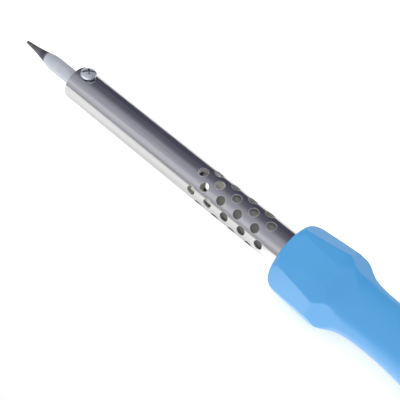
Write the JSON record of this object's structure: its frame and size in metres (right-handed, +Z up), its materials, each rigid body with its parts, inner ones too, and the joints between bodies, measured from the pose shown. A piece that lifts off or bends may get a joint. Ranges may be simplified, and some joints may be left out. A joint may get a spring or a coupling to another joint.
{
  "type": "soldering iron",
  "caption": "Mains soldering iron with a plug-in conical tip held by a clamp screw, a vented steel barrel and a blue moulded handle with a twelve-sided collar.",
  "frame": {"origin": "bottom centre of the whole iron's box, under the middle of its length, with the iron level on the lowest flat of its collar", "axes": "+X along the iron from the tip to the cord end, +Z up through the clamp screw's head, +Y completes the right-handed set"},
  "size_m": [0.247, 0.027, 0.0274],
  "materials": {
    "tip_plating": "satin plating, the working cone darkened by heat",
    "barrel_chrome": "polished",
    "plain_steel": "turned",
    "zinc_steel": "bright zinc",
    "mica": "satin flake",
    "nichrome": "drawn wire",
    "steatite": "matte",
    "nickel_wire": "drawn wire",
    "pressed_fibre": "matte",
    "blue_plastic": "satin moulded",
    "glass_fibre": "woven",
    "phenolic": "matte moulded",
    "terminal_brass": "machined",
    "copper_wire": "drawn wire",
    "black_rubber": "matte"
  },
  "bodies": {
    "iron": {"barrel_tube": "barrel_chrome", "nose_collar": "plain_steel", "element_core_tube": "plain_steel", "inner_mica_sleeve": "mica", "heating_winding": "nichrome", "outer_mica_sleeve": "mica", "front_element_spacer": "steatite", "rear_element_spacer": "steatite", "live_element_lead": "nickel_wire", "neutral_element_lead": "nickel_wire", "live_lead_insulator": "steatite", "neutral_lead_insulator": "steatite", "barrel_flange": "plain_steel", "nose_heat_sleeve": "pressed_fibre", "handle_shell": "blue_plastic", "spacer_sleeve": "pressed_fibre", "terminal_block": "phenolic", "terminal_screws": "zinc_steel", "live_terminal": "terminal_brass", "neutral_terminal": "terminal_brass", "earth_terminal": "terminal_brass", "earth_tag": "plain_steel", "lead_jacket": "glass_fibre", "earth_lead": "copper_wire", "cord_carrier": "phenolic", "cord_clamp_bar": "phenolic", "cord_clamp_screws": "zinc_steel", "end_cap": "blue_plastic", "end_cap_screws": "zinc_steel", "cord_grommet": "black_rubber"},
    "tip": {"soldering_tip": "tip_plating"},
    "washer": {"lock_washer": "zinc_steel"},
    "screw": {"clamp_screw": "zinc_steel"}
  },
  "joints": [
    {"name": "tip_slide", "type": "slide", "parent": "iron", "child": "tip", "axis": [-1, 0, 0], "range_m": [-0.004, 0.036]},
    {"name": "screw_travel", "type": "slide", "parent": "iron", "child": "washer", "axis": [0, 0, 1], "range_m": [0, 0.0015]},
    {"name": "screw_turn", "type": "hinge", "parent": "washer", "child": "screw", "pos_m": [-0.0901, 0, 0.02068], "axis": [0, 0, 1], "range_deg": [0, 1080]}
  ],
  "couplings": [
    {"joint": "screw_turn", "follows": "screw_travel", "rad_per_m": 12566}
  ]
}
